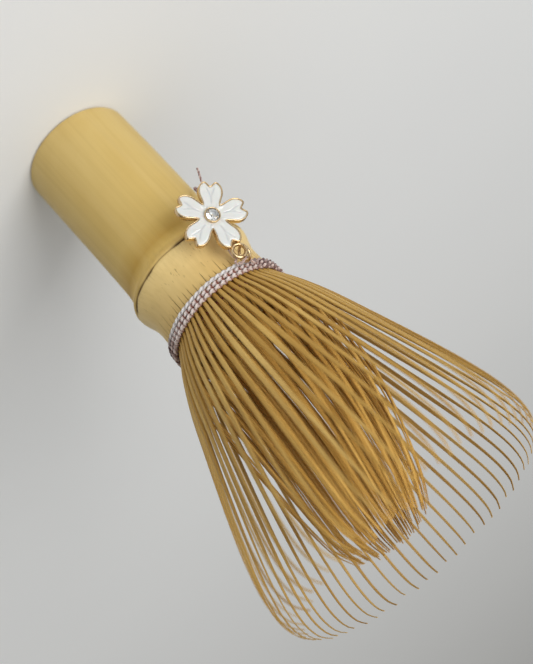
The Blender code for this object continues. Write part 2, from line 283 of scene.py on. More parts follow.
def around(centre, directions, radius, angle):
    """A point of the circle round a centre, in the plane of two cross directions."""
    side, up = directions
    return centre + side * (radius * math.cos(angle)) + up * (radius * math.sin(angle))


def circle_section(centre, directions, radius, sides):
    return [around(centre, directions, radius, math.tau * j / sides) for j in range(sides)]


# ---- materials


class Nodes:
    """Adds nodes to a tree and joins them."""

    def __init__(self, tree):
        self.tree = tree

    def node(self, kind, **settings):
        made = self.tree.nodes.new(kind)
        for key, value in settings.items():
            setattr(made, key, value)
        return made

    def put(self, socket, value):
        if isinstance(value, bpy.types.NodeSocket):
            self.tree.links.new(value, socket)
        else:
            socket.default_value = value

    def feed(self, made, **inputs):
        """Fills a node's inputs by name, with _ for each space."""
        for key, value in inputs.items():
            self.put(made.inputs[key.replace("_", " ")], value)

    def math(self, operation, a, b):
        made = self.node("ShaderNodeMath", operation=operation)
        self.put(made.inputs[0], a)
        self.put(made.inputs[1], b)
        return made.outputs[0]


class Paint(Nodes):
    """A small builder for node materials."""

    def __init__(self, name):
        self.mat = bpy.data.materials.new(name)
        self.mat.use_nodes = True
        super().__init__(self.mat.node_tree)
        self.shader = self.tree.nodes["Principled BSDF"]

    def set(self, **inputs):
        self.feed(self.shader, **inputs)

    def attribute(self, name, colour=False):
        made = self.node("ShaderNodeAttribute", attribute_name=name)
        return made.outputs["Color"] if colour else made.outputs["Fac"]

    def uv(self, along, around, shift=0.0):
        """UVs scaled along and around, so that a texture can be stretched down a strip."""
        coordinates = self.node("ShaderNodeUVMap", uv_map="along_around")
        parts = self.node("ShaderNodeSeparateXYZ")
        self.put(parts.inputs[0], coordinates.outputs[0])
        joined = self.node("ShaderNodeCombineXYZ")
        self.put(joined.inputs[0], self.math("MULTIPLY", parts.outputs[0], along))
        self.put(joined.inputs[1], self.math("MULTIPLY", parts.outputs[1], around))
        self.put(joined.inputs[2], shift)
        return joined.outputs[0]

    def stretched(self, across, up):
        """Object coordinates scaled across and up the whisk."""
        coordinates = self.node("ShaderNodeTexCoord")
        mapping = self.node("ShaderNodeMapping")
        self.put(mapping.inputs[0], coordinates.outputs["Object"])
        mapping.inputs["Scale"].default_value = (across, across, up)
        return mapping.outputs[0]

    def noise(self, vector, scale=1.0, detail=3.0, roughness=0.55, distortion=0.0):
        made = self.node("ShaderNodeTexNoise")
        self.feed(made, Vector=vector, Scale=scale, Detail=detail, Roughness=roughness, Distortion=distortion)
        return made.outputs["Fac"]

    def ramp(self, factor, *stops):
        """A colour ramp; each stop is a place from 0 to 1 and a colour or a grey value."""
        made = self.node("ShaderNodeValToRGB")
        elements = made.color_ramp.elements
        while len(elements) < len(stops):
            elements.new(0.5)
        for element, (place, colour) in zip(elements, stops):
            element.position = place
            rgb = (colour,) * 3 if isinstance(colour, float) else colour
            element.color = (*rgb, 1.0)
        self.put(made.inputs[0], factor)
        return made.outputs[0]

    def blend(self, factor, a, b, mode="MIX"):
        made = self.node("ShaderNodeMix", data_type="RGBA", blend_type=mode)
        self.put(made.inputs[0], factor)
        self.put(made.inputs[6], a if isinstance(a, bpy.types.NodeSocket) else (*a, 1.0))
        self.put(made.inputs[7], b if isinstance(b, bpy.types.NodeSocket) else (*b, 1.0))
        return made.outputs[2]

    def bump(self, height, distance, strength):
        made = self.node("ShaderNodeBump")
        self.feed(made, Strength=strength, Distance=distance, Height=height)
        self.put(self.shader.inputs["Normal"], made.outputs[0])

    def height_up(self):
        """The height up the whisk."""
        coordinates = self.node("ShaderNodeTexCoord")
        parts = self.node("ShaderNodeSeparateXYZ")
        self.put(parts.inputs[0], coordinates.outputs["Object"])
        return parts.outputs[2]


def srgb(red, green, blue):
    """An sRGB colour, 0 to 255, as the linear colour that a shader takes."""
    linear = []
    for value in (red, green, blue):
        share = value / 255.0
        linear.append(share / 12.92 if share <= 0.04045 else ((share + 0.055) / 1.055) ** 2.4)
    return tuple(linear)


def cane_skin():
    """Scraped cane skin: fine fibres along the cane, soft mottling, a node browned by a band of painted shade
    on the handle side of its ridge with a painted highlight on its crest, and a paler skirt.
    """
    paint = Paint("cane_skin")
    fibre = paint.noise(paint.stretched(1300.0, 30.0), detail=4.0, roughness=0.6)
    streak = paint.noise(paint.stretched(300.0, 7.0), detail=2.0)
    mottle = paint.noise(paint.stretched(70.0, 55.0), detail=4.0, distortion=0.6)
    height = paint.math("DIVIDE", paint.height_up(), RIM_HEIGHT)
    scar = SCAR_HEIGHT / RIM_HEIGHT
    grip = srgb(216, 190, 124)
    base = paint.ramp(
        height,
        (0.0, grip),
        (scar - 0.17, srgb(210, 180, 106)),
        # Painted shade on the handle side of the node ridge, then a painted highlight along its crest.
        (scar - 0.085, srgb(192, 154, 70)),
        (scar - 0.035, srgb(222, 188, 104)),
        (scar - 0.012, srgb(214, 180, 104)),
        (scar + 0.012, srgb(240, 214, 152)),
        (1.0, srgb(228, 194, 126)),
    )
    base = paint.blend(paint.ramp(mottle, (0.38, 0.0), (0.75, 0.4)), base, srgb(202, 168, 92))
    base = paint.blend(paint.ramp(streak, (0.42, 0.0), (0.75, 0.16)), base, srgb(234, 214, 160))
    base = paint.blend(paint.ramp(fibre, (0.45, 0.0), (0.8, 0.2)), base, srgb(168, 136, 72))
    speck = paint.noise(paint.stretched(2600.0, 620.0), detail=1.0)
    where = paint.noise(paint.stretched(260.0, 260.0), detail=1.0)
    flecks = paint.math(
        "MULTIPLY",
        paint.ramp(speck, (0.66, 0.0), (0.72, 1.0)),
        paint.ramp(where, (0.5, 0.0), (0.62, 1.0)),
    )
    skirt = paint.ramp(height, (scar, 0.0), (scar + 0.02, 1.0), (0.93, 0.6), (1.0, 0.2))
    flecks = paint.math("MULTIPLY", flecks, skirt)
    base = paint.blend(paint.math("MULTIPLY", flecks, 0.55), base, srgb(122, 92, 42))
    # Darkening: the scar line and its flecks, and painted shade in the slits.
    base = paint.blend(paint.attribute("stain"), base, srgb(78, 50, 22))
    paint.set(Base_Color=base, Roughness=paint.ramp(mottle, (0.3, 0.42), (0.8, 0.56)))
    paint.set(Specular_IOR_Level=0.2)
    relief = paint.math("ADD", paint.math("MULTIPLY", fibre, 0.7), paint.math("MULTIPLY", streak, 0.6))
    paint.bump(relief, 0.00004, 0.55)
    return paint.mat


def cane_end():
    """Cut end grain: pale wood with the dark dots of the cane's fibre bundles."""
    paint = Paint("cane_end_grain")
    cells = paint.node("ShaderNodeTexVoronoi", feature="F1")
    paint.put(cells.inputs["Vector"], paint.stretched(1500.0, 1500.0))
    cells.inputs["Scale"].default_value = 1.0
    dots = paint.ramp(cells.outputs["Distance"], (0.16, 1.0), (0.34, 0.0))
    grain = paint.noise(paint.stretched(900.0, 900.0), detail=4.0)
    base = paint.blend(paint.ramp(grain, (0.3, 0.0), (0.75, 0.8)), srgb(226, 202, 150), srgb(196, 162, 102))
    base = paint.blend(paint.math("MULTIPLY", dots, 0.75), base, srgb(120, 82, 40))
    paint.set(Base_Color=base, Roughness=0.75)
    paint.bump(paint.math("SUBTRACT", grain, dots), 0.0001, 0.5)
    return paint.mat


def cane_pith():
    """The cane's inner wall: papery, pale and fibrous."""
    paint = Paint("cane_inner_wall")
    fibre = paint.noise(paint.stretched(1100.0, 60.0), detail=5.0)
    stain = paint.noise(paint.stretched(120.0, 120.0), detail=3.0)
    base = paint.blend(fibre, srgb(214, 186, 132), srgb(178, 142, 88))
    base = paint.blend(paint.ramp(stain, (0.45, 0.0), (0.7, 0.5)), base, srgb(150, 112, 62))
    paint.set(Base_Color=base, Roughness=0.8)
    paint.bump(fibre, 0.0001, 0.6)
    return paint.mat


def tine_strip(name, light, middle, dark):
    """Split cane: long fibres down each tine, with its own tone, and a paler fibrous inner face."""
    paint = Paint(name)
    tone = paint.attribute("tone")
    fibre = paint.noise(paint.uv(0.16, 16.0, tone), scale=2.0, detail=4.0, roughness=0.6)
    slow = paint.noise(paint.uv(0.06, 2.0, tone), scale=1.0, detail=2.0)
    base = paint.ramp(tone, (0.0, dark), (0.5, middle), (1.0, light))
    base = paint.blend(paint.ramp(slow, (0.4, 0.0), (0.68, 0.5)), base, dark)
    base = paint.blend(paint.ramp(fibre, (0.5, 0.0), (0.74, 0.45)), base, srgb(134, 98, 44))
    base = paint.blend(paint.ramp(fibre, (0.2, 0.5), (0.42, 0.0)), base, light)
    inner = paint.attribute("inner_face")
    base = paint.blend(paint.math("MULTIPLY", inner, 0.4), base, srgb(176, 144, 92))
    paint.set(Base_Color=base, Roughness=paint.ramp(fibre, (0.3, 0.42), (0.75, 0.6)))
    paint.set(Specular_IOR_Level=0.2)
    paint.bump(fibre, 0.00003, 0.6)
    return paint.mat


def dyed_thread():
    """Two-ply thread in its dyed colours, with painted shade where the binding dips and on the spacer: fine
    fibres wind round each ply, with a soft nap.
    """
    paint = Paint("dyed_thread")
    colour = paint.attribute("dye", colour=True)
    fibre = paint.noise(paint.uv(1.6, 9.0), scale=3.0, detail=3.0)
    shade = paint.blend(1.0, colour, paint.ramp(fibre, (0.3, 0.72), (0.7, 1.08)), mode="MULTIPLY")
    paint.set(Base_Color=shade, Roughness=0.82, Sheen_Weight=0.35, Sheen_Roughness=0.4)
    paint.bump(fibre, 0.00006, 0.8)
    return paint.mat


def gold_plate():
    """Polished yellow plating with faint handling marks."""
    paint = Paint("gold_plate")
    marks = paint.noise(paint.stretched(1400.0, 900.0), detail=5.0, distortion=1.2)
    wear = paint.noise(paint.stretched(260.0, 260.0), detail=3.0)
    base = paint.blend(paint.ramp(wear, (0.35, 0.0), (0.75, 1.0)), srgb(226, 202, 164), srgb(198, 170, 126))
    paint.set(Base_Color=base, Metallic=1.0, Roughness=paint.ramp(marks, (0.3, 0.2), (0.75, 0.34)))
    paint.bump(marks, 0.000012, 0.5)
    return paint.mat


def white_enamel():
    """Glossy white enamel, with painted shade in grey along the creases of the pressed veins."""
    paint = Paint("white_enamel")
    cloud = paint.noise(paint.stretched(300.0, 300.0), detail=3.0)
    base = paint.blend(cloud, srgb(224, 226, 224), srgb(214, 217, 217))
    # Painted shade: grey in the creases of the pressed veins.
    base = paint.blend(paint.math("MULTIPLY", paint.attribute("vein"), 0.6), base, srgb(176, 180, 186))
    paint.set(Base_Color=base, Roughness=0.16, Coat_Weight=0.6, Coat_Roughness=0.05)
    paint.set(Subsurface_Weight=0.08, Subsurface_Scale=0.0006)
    paint.bump(paint.noise(paint.stretched(700.0, 700.0), detail=2.0), 0.00001, 0.35)
    return paint.mat


def clear_stone():
    """Clear cut stone."""
    paint = Paint("clear_stone")
    tint = paint.noise(paint.stretched(400.0, 400.0), detail=1.0)
    base = paint.blend(tint, srgb(250, 251, 252), srgb(238, 243, 246))
    paint.set(Base_Color=base, Roughness=0.02, Transmission_Weight=0.92, IOR=1.5)
    return paint.mat


def stone_foil():
    """Bright foil under the stone."""
    paint = Paint("stone_foil")
    grain = paint.noise(paint.stretched(2200.0, 2200.0), detail=2.0)
    base = paint.blend(grain, srgb(250, 250, 251), srgb(232, 234, 238))
    paint.set(Base_Color=base, Metallic=0.35, Roughness=0.4)
    return paint.mat


def studio_floor():
    paint = Paint("studio_floor")
    cloud = paint.noise(paint.stretched(9.0, 9.0), detail=3.0)
    base = paint.blend(cloud, srgb(238, 240, 241), srgb(233, 235, 237))
    paint.set(Base_Color=base, Roughness=0.75)
    return paint.mat


# ---- the cane handle

CANE_OUTLINE = smooth_profile(
    (
        (0.0 * MM, GRIP_RADIUS),
        (20.0 * MM, GRIP_RADIUS - 0.03 * MM),
        (32.0 * MM, GRIP_RADIUS - 0.02 * MM),
        (35.5 * MM, GRIP_RADIUS + 0.02 * MM),
        (38.2 * MM, GRIP_RADIUS + 0.26 * MM),
        (39.9 * MM, RIDGE_RADIUS - 0.84 * MM),
        (41.1 * MM, RIDGE_RADIUS - 0.14 * MM),
        (42.1 * MM, RIDGE_RADIUS - 0.04 * MM),
        (43.1 * MM, RIDGE_RADIUS - 0.3 * MM),
        (44.6 * MM, WAIST_RADIUS + 0.55 * MM),
        (46.4 * MM, WAIST_RADIUS + 0.12 * MM),
        (48.5 * MM, WAIST_RADIUS + 0.02 * MM),
        (RIM_HEIGHT, RIM_RADIUS),
    )
)
SLIT_DEPTH = 0.5 * MM


def scar_at(azimuth):
    """Height of the sheath scar and how open it is, round the cane."""
    wave = noise.noise(polar(2.1, azimuth, 3.7))
    opening = noise.noise(polar(3.4, azimuth, 9.2))
    return SCAR_HEIGHT + 0.35 * MM * wave, smooth(-0.35, 0.35, opening + 0.15)


def slit_plan():
    """One hairline split for each gap between tines: how far it runs down the skirt, and its widths."""
    chance = random.Random(11)
    plan = []
    for _ in range(TINES):
        length = chance.triangular(2.0, 7.0, 3.2) * MM
        plan.append((length, chance.uniform(0.05, 0.085) * MM, chance.uniform(-0.2, 0.2) * MM))
    return plan


def cane_columns():
    """Azimuth columns (azimuth, gap number, side): side -1 and 1 are a slit's edges, and 0 is its floor."""
    columns = []
    for gap in range(TINES):
        centre = FRONT + gap * PITCH
        for side in (-1, 0, 1):
            columns.append((centre, gap, side))
        for share in (0.14, 0.3, 0.5, 0.7, 0.86):
            columns.append((centre + share * PITCH, gap, None))
    return columns


def cane_point(column, height, slits):
    """One point of the outer skin and its darkening (the scar line and its flecks, and painted shade down the
    slits), for a column at a height.
    """
    azimuth, gap, side = column
    radius = CANE_OUTLINE(height)
    ripple = noise.noise(polar(1.3, azimuth, height * 40.0))
    radius += 0.12 * MM * ripple
    scar, opening = scar_at(azimuth)
    reach = mix(0.15, 0.3, opening) * MM
    line = math.exp(-(((height - scar) / reach) ** 2)) * mix(0.5, 1.0, opening)
    feather = noise.noise(polar(30.0, azimuth, 1.0))
    dash = smooth(0.1, 0.45, feather) * opening
    trail = dash * math.exp(-max(0.0, height - scar) / (0.65 * MM)) if height > scar else 0.0
    radius -= 0.3 * MM * line
    stain = min(1.0, line + 0.55 * trail)
    length, half_width, drift = slits[gap]
    depth_share = smooth(RIM_HEIGHT - length, RIM_HEIGHT, height)
    if side is not None:
        width = mix(0.02 * MM, half_width, depth_share**0.7)
        azimuth += (drift * (1.0 - depth_share) + side * width) / radius
        if side == 0 and depth_share > 0.0:
            radius -= SLIT_DEPTH * min(1.0, depth_share * 6.0)
        # Painted shade: the slit floor, and more faintly its edges, are darkened as if in shadow.
        if depth_share > 0.0:
            stain = max(stain, min(1.0, depth_share * 7.0) * (1.0 if side == 0 else 0.22))
    else:
        middle = abs((azimuth - FRONT) / PITCH % 1.0 - 0.5)
        radius -= 0.05 * MM * (middle * 2.0) ** 2 * depth_share
    return polar(radius, azimuth, height), stain


def cane_heights():
    heights = [0.5 * MM, 2.0 * MM]
    heights += [4.0 * MM + 2.5 * MM * i for i in range(12)]
    heights += [34.5 * MM + 0.5 * MM * i for i in range(12)]
    heights += [40.5 * MM + 0.09 * MM * i for i in range(32)]
    heights += [43.5 * MM + 0.45 * MM * i for i in range(1, 22)]
    return [h for h in heights if h < RIM_HEIGHT - 0.2 * MM] + [RIM_HEIGHT]


def cane_handle(skin, end, pith):
    """The hollow cane: skin, cut end, bore, septum and upper bore as one closed surface."""
    body = Skin("cane_handle")
    columns = cane_columns()
    count = len(columns)
    slits = slit_plan()
    plain = [column[0] + (column[2] or 0) * 0.02 * MM / GRIP_RADIUS for column in columns]

    def level(radius, height, lumps=0.0):
        points = []
        for azimuth in plain:
            swell = noise.noise(polar(2.0, azimuth, height * 90.0))
            points.append(polar(radius + lumps * swell, azimuth, height + 0.4 * lumps * swell))
        return points

    rings = [
        (level(0.2 * MM, SEPTUM_BOTTOM - 0.8 * MM), 2),
        (level(BORE_RADIUS * 0.6, SEPTUM_BOTTOM - 0.5 * MM, 0.3 * MM), 2),
        (level(BORE_RADIUS - 0.5 * MM, SEPTUM_BOTTOM, 0.2 * MM), 2),
        (level(BORE_RADIUS, SEPTUM_BOTTOM - 1.0 * MM, 0.15 * MM), 2),
        (level(BORE_RADIUS, 20.0 * MM, 0.15 * MM), 2),
        (level(BORE_RADIUS, 0.3 * MM, 0.1 * MM), 2),
        (level(BORE_RADIUS + 0.15 * MM, 0.0, 0.1 * MM), 1),
        (level(GRIP_RADIUS - 0.5 * MM, 0.0), 1),
        (level(GRIP_RADIUS - 0.2 * MM, 0.06 * MM), 1),
        (level(GRIP_RADIUS - 0.05 * MM, 0.22 * MM), 0),
    ]
    clean = [0.0] * count
    starts = [(body.ring(points, stain=clean), slot, points) for points, slot in rings]
    for height in cane_heights():
        made = [cane_point(column, height, slits) for column in columns]
        points = [point for point, _ in made]
        starts.append((body.ring(points, stain=[stain for _, stain in made]), 0, points))
    for points, slot in (
        (level(UPPER_BORE_RADIUS + 0.1 * MM, RIM_HEIGHT), 1),
        (level(UPPER_BORE_RADIUS, RIM_HEIGHT - 0.3 * MM), 2),
        (level(UPPER_BORE_RADIUS - 0.1 * MM, 48.0 * MM, 0.1 * MM), 2),
        (level(BORE_RADIUS + 0.2 * MM, SEPTUM_TOP + 1.0 * MM, 0.2 * MM), 2),
        (level(BORE_RADIUS - 0.8 * MM, SEPTUM_TOP, 0.2 * MM), 2),
        (level(BORE_RADIUS * 0.5, SEPTUM_TOP - 0.5 * MM, 0.3 * MM), 2),
        (level(0.2 * MM, SEPTUM_TOP - 0.7 * MM), 2),
    ):
        starts.append((body.ring(points, stain=clean), slot, points))
    along = 0.0
    for (start_a, _, points_a), (start_b, slot, points_b) in zip(starts, starts[1:]):
        reach = along + (points_b[0] - points_a[0]).length / MM
        body.bridge(start_a, start_b, count, along, reach, slot)
        along = reach
    body.cap(starts[0][0], count, 0.0, flip=True, slot=2)
    body.cap(starts[-1][0], count, along, slot=2)
    stand_for(body.build([skin, end, pith], sharp_degrees=40.0), "handle", ROOT_BODY)


# ---- the tines

OUTER_PATH = smooth_path(
    (
        (12.72, 53.7), (12.8, 55.2), (13.5, 56.9), (15.5, 61.0), (18.0, 67.4), (20.6, 75.6),
        (23.0, 83.6), (25.2, 91.2), (27.0, 98.0), (28.3, 104.4), (28.6, 108.8), (27.9, 112.2),
        (26.2, 114.4),
    )
)
OUTER_SPLAY = 0.15
SPLAY_AZIMUTH = math.radians(37.0)
FLARE_FROM = 12.9
OUTER_WIDTHS = ((0.0, 0.8), (0.08, 0.86), (0.3, 1.06), (0.55, 0.9), (0.75, 0.66), (0.9, 0.5), (1.0, 0.32))
OUTER_THICKNESSES = ((0.0, 0.66), (0.16, 0.6), (0.45, 0.42), (0.85, 0.26), (1.0, 0.14))
OUTER_STEPS = 48
INNER_PATH = smooth_path(
    (
        (11.6, 53.7, 0.0), (11.6, 56.0, 0.0), (11.6, 62.0, 0.3), (11.35, 69.0, 0.5), (11.0, 76.0, 0.8),
        (10.8, 84.0, 1.4), (10.5, 92.0, 2.4), (10.0, 99.0, 3.5), (9.0, 105.5, 4.5), (6.9, 110.8, 4.9),
    )
)
INNER_LEAN = polar(1.0, SPLAY_AZIMUTH)
INNER_STRANDS = 8
INNER_PITCH = math.tau / (BUNDLES * INNER_STRANDS)
INNER_LAYERS = (1.42, 0.9, 1.18, 0.8, 1.3, 0.98, 1.08, 0.72)
INNER_WIDTHS = ((0.0, 0.42), (0.08, 0.44), (0.26, 0.8), (0.45, 0.8), (0.75, 0.56), (1.0, 0.24))
INNER_THICKNESSES = ((0.0, 0.52), (0.4, 0.4), (0.9, 0.26), (1.0, 0.14))
INNER_STEPS = 36


def strip_section(centre, out, side, width, thickness, turn):
    """The tine's cross-section: a crowned outer face, chamfered edges and a flat inner face."""
    c, s = math.cos(turn), math.sin(turn)
    across = side * c + out * s
    outward = out * c - side * s
    w, t = width / 2.0, thickness / 2.0
    e = min(w, t) * 0.45
    shape = (
        (-w + e, t * 0.8),
        (0.0, t),
        (w - e, t * 0.8),
        (w, t * 0.8 - e),
        (w, -t + e),
        (w - e, -t),
        (-w + e, -t),
        (-w, -t + e),
        (-w, t * 0.8 - e),
    )
    return [centre + across * x + outward * y for x, y in shape]


INNER_FACE = (0.0, 0.0, 0.0, 0.0, 0.6, 1.0, 1.0, 0.6, 0.0)


def add_tine(skin, path, azimuth_at, widths, thicknesses, twist, tone, steps, widen=1.0):
    """One tine swept along path(share), facing outwards at azimuth_at(share) and twisted towards its tip."""
    centres = [path(i / steps) for i in range(steps + 1)]
    rings = []
    for i, centre in enumerate(centres):
        share = i / steps
        tangent = (centres[min(i + 1, steps)] - centres[max(i - 1, 0)]).normalized()
        radial = polar(1.0, azimuth_at(share))
        side = tangent.cross(radial).normalized() * -1.0
        out = side.cross(tangent).normalized() * -1.0
        if out.dot(radial) < 0.0:
            out = -out
        width = widen * value_at(widths, share) * MM
        thickness = value_at(thicknesses, share) * MM
        rings.append(strip_section(centre, out, side, width, thickness, twist * smooth(0.1, 1.0, share)))
    count = len(rings)
    skin.tube(rings, tone=[tone] * count, inner_face=[list(INNER_FACE)] * count)


def outer_tine(skin, number, chance):
    base = FRONT + (number + 0.5) * PITCH
    flare = 1.0 + OUTER_SPLAY * ((1.0 + math.cos(base - SPLAY_AZIMUTH)) / 2.0) ** 2
    sway = held(chance.gauss(0.0, 0.08), 0.1) * MM
    tip_sway = held(chance.gauss(0.0, 0.12), 0.15) * MM
    bow = chance.gauss(0.0, 0.35) * MM
    phase = chance.uniform(0.0, math.tau)
    length = 1.0 - chance.uniform(0.0, 0.02)
    twist = math.radians(chance.gauss(0.0, 8.0))
    widen = chance.uniform(0.92, 1.08)
    root_shift = chance.gauss(0.0, 0.05) * MM

    def path(share):
        radius, height = OUTER_PATH(share * length)
        if radius > FLARE_FROM:
            radius = FLARE_FROM + (radius - FLARE_FROM) * flare
        free = smooth(0.08, 1.0, share)
        slide = root_shift + sway * math.sin(share * 3.2 + phase) * free + tip_sway * free * share
        radius = radius * MM + bow * math.sin(math.pi * share) * free
        return polar(radius, base, height * MM) + polar(slide, base + math.pi / 2.0)

    shape = (OUTER_WIDTHS, OUTER_THICKNESSES, twist, chance.random(), OUTER_STEPS, widen)
    add_tine(skin, path, lambda share: base, *shape)


def inner_tine(skin, number, chance):
    base = FRONT + (number + 0.5) * INNER_PITCH
    stagger = INNER_LAYERS[number % INNER_STRANDS] + chance.gauss(0.0, 0.02)
    swirl = chance.gauss(0.0, math.radians(0.9))
    sway = chance.gauss(0.0, 0.14) * MM
    phase = chance.uniform(0.0, math.tau)
    length = 1.0 - chance.uniform(0.0, 0.03)
    twist = math.radians(chance.gauss(0.0, 14.0))

    def azimuth_at(share):
        return base + swirl * share

    def path(share):
        radius, height, shift = INNER_PATH(share * length)
        free = smooth(0.04, 0.26, share)
        gather = smooth(0.45, 1.0, share) if stagger > 1.0 else 0.0
        radius *= mix(1.0, mix(stagger, 1.0, 0.5 * gather), free)
        azimuth = azimuth_at(share)
        slide = sway * math.sin(share * 6.0 + phase) * free
        centre = polar(radius * MM, azimuth, height * MM) + INNER_LEAN * (shift * MM)
        return centre + polar(slide, azimuth + math.pi / 2.0)

    shape = (INNER_WIDTHS, INNER_THICKNESSES, twist, chance.random(), INNER_STEPS)
    add_tine(skin, path, azimuth_at, *shape)


def tine_bundles(outer_mat, inner_mat):
    chance = random.Random(64)
    rows = (
        ("outer", outer_tine, TINES_PER_BUNDLE, outer_mat),
        ("inner", inner_tine, INNER_STRANDS, inner_mat),
    )
    for row, add, strips, mat in rows:
        for bundle in range(BUNDLES):
            node = f"{row}_tines_{bundle + 1:02d}"
            skin = Skin(f"{node}_split_cane")
            for index in range(strips):
                add(skin, bundle * strips + index, chance)
            made = skin.build([mat], sharp_degrees=32.0)
            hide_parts(node)
            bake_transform(made)


# ---- the threads

WHITE = Vector(srgb(236, 235, 236))
BLUSH = Vector(srgb(232, 208, 200))
# The rust of the painted shade deep in the gaps between the tines.
RUST_SHADE = Vector(srgb(150, 80, 56))
MAUVE = Vector(srgb(176, 138, 134))
PLUM = Vector(srgb(84, 48, 52))
BINDING_ROWS = 3
BINDING_RADII = (13.62 * MM, 13.66 * MM, 13.72 * MM)
BINDING_DIPS = (0.08 * MM, 0.24 * MM, 0.34 * MM)
BINDING_FIRST_HEIGHT = 53.25 * MM
BINDING_PITCH = 0.92 * MM
BINDING_PLY_RADIUS = 0.255 * MM
BINDING_PLY_OFFSET = 0.215 * MM
SPACER_PLY_RADIUS = 0.16 * MM
SPACER_PLY_OFFSET = 0.13 * MM
SPACER_TWISTS = 40
LOOSE_PLY_RADIUS = 0.135 * MM
LOOSE_PLY_OFFSET = 0.115 * MM
BINDING_CROSSOVER = 0.15
BINDING_START_AZIMUTH = math.radians(100.0)
WHITE_AZIMUTH = math.radians(-45.0)


def add_ply_cord(skin, centres, ply_radius, offset, angle_at, dyes, closed=False, sides=8, frames=None):
    """A cord of two plies wound round each other along the centres; dyes(ply, share) colours each ply,
    painted shade included.
    """
    frames = frames or carried_frames(centres, closed)
    count = len(centres)
    for ply in (0, 1):
        strand = []
        for i, (centre, directions) in enumerate(zip(centres, frames)):
            strand.append(around(centre, directions, offset, angle_at(i / count) + math.pi * ply))
        own = carried_frames(strand, closed)
        rings = [circle_section(p, f, ply_radius, sides) for p, f in zip(strand, own)]
        colours = [dyes(ply, i / count) for i in range(count)]
        skin.tube(rings, dye=colours, closed=closed)


def plum_share(azimuth):
    """How far the thread turns plum: not at all at the white front, and fully round the back."""
    away = abs((azimuth - WHITE_AZIMUTH + math.pi) % math.tau - math.pi)
    return smooth(math.radians(40.0), math.radians(66.0), away)


def gap_at(azimuth):
    """0 over the middle of a tine, 1 over the gap between two tines."""
    return 0.5 + 0.5 * math.cos((azimuth - FRONT) * TINES)


def binding_height(turn):
    row = min(int(turn), BINDING_ROWS - 1)
    climb = 0.0
    if row < BINDING_ROWS - 1:
        climb = max(0.0, (turn - row - 1.0 + BINDING_CROSSOVER) / BINDING_CROSSOVER)
    return BINDING_FIRST_HEIGHT + BINDING_PITCH * (row + climb)


def binding_thread(mat):
    """Three rows of cord, dipping into the gaps between the tines, where painted shade darkens them to mauve
    in the top row and to rust turning plum below.
    """
    skin = Skin("binding_cord")
    steps = 12
    total = BINDING_ROWS * TINES * steps
    centres, frames = [], []
    for i in range(total):
        turn = i / (TINES * steps)
        azimuth = BINDING_START_AZIMUTH + math.tau * turn
        row = int(turn)
        dip = BINDING_DIPS[row] * gap_at(azimuth) ** 2
        wobble = 0.03 * MM * math.sin(azimuth * 9.0 + turn * 2.0)
        centres.append(polar(BINDING_RADII[row] - dip, azimuth, binding_height(turn) + wobble))
        frames.append((polar(1.0, azimuth), Vector((0.0, 0.0, 1.0))))

    def angle_at(share):
        azimuth = BINDING_START_AZIMUTH + math.tau * share * BINDING_ROWS
        return math.pi * (azimuth - FRONT - PITCH / 2.0) / PITCH

    def dyes(ply, share):
        turn = share * BINDING_ROWS
        azimuth = BINDING_START_AZIMUTH + math.tau * turn
        plum = plum_share(azimuth)
        hollow = gap_at(azimuth) ** 2
        if turn < 1.0:
            pale = WHITE.lerp(BLUSH, 0.8 * plum)
            # Painted shade: mauve where the top row dips between the tines.
            return pale.lerp(PLUM, plum * (0.95 if ply else 0.5)).lerp(MAUVE, 0.4 * hollow)
        pale = WHITE.lerp(BLUSH, 0.45 + 0.4 * plum)
        # Painted shade: rust turning plum where the lower rows dip between the tines.
        deep = RUST_SHADE.lerp(PLUM, 0.8 * plum)
        shown = 1.7 if turn < 2.0 else 1.0
        return pale.lerp(deep, 0.75 * plum * ply).lerp(deep, min(1.0, shown * hollow))

    plies = (BINDING_PLY_RADIUS, BINDING_PLY_OFFSET)
    add_ply_cord(skin, centres, *plies, angle_at, dyes, sides=10, frames=frames)
    stand_for(skin.build([mat], sharp_degrees=80.0), "binding_thread", ROOT_BODY)


def spacer_thread(mat):
    """The hidden round of thread between the rows, coloured with the rust of painted shade, and seen only as
    flecks of that painted shade deep between the tines.
    """
    low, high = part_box("spacer_thread")
    height = (low.z + high.z) / 2.0
    radius = high.x - 0.3 * MM
    steps = 320
    centres = [polar(radius, math.tau * i / steps, height) for i in range(steps)]
    skin = Skin("spacer_cord")

    def dyes(ply, share):
        # Painted shade: the whole cord takes the rust gap shade, turning plum round the back.
        return RUST_SHADE.lerp(PLUM, plum_share(math.tau * share) if ply else 0.3)

    def angle_at(share):
        return SPACER_TWISTS * math.tau * share

    plies = (SPACER_PLY_RADIUS, SPACER_PLY_OFFSET)
    add_ply_cord(skin, centres, *plies, angle_at, dyes, closed=True, sides=6)
    stand_for(skin.build([mat], sharp_degrees=80.0), "spacer_thread", ROOT_BODY)


TIE_PATH = (
    (-1.9, -14.5, 54.9), (-1.2, -14.95, 54.7), (-0.5, -15.9, 54.32), (0.0, -16.2, 54.16),
    (0.6, -15.85, 54.3), (1.5, -14.85, 54.1), (1.7, -14.5, 53.2), (0.8, -14.4, 52.4),
    (0.6, -14.0, 51.2), (0.3, -14.3, 48.0), (-0.1, -15.0, 44.4), (-0.8, -15.1, 41.8),
    (-2.3, -14.9, 38.6), (-3.9, -14.9, 36.0), (-4.9, -15.6, 33.6), (-5.3, -16.7, 31.6),
    (-5.4, -17.8, 30.1),
)
SECOND_END_PATH = (
    (-1.9, -14.35, 40.8), (-3.6, -13.7, 37.2), (-4.7, -13.4, 34.4), (-5.2, -13.1, 32.2),
    (-5.9, -12.4, 30.5), (-7.2, -11.3, 29.4), (-8.6, -10.1, 28.9),
)


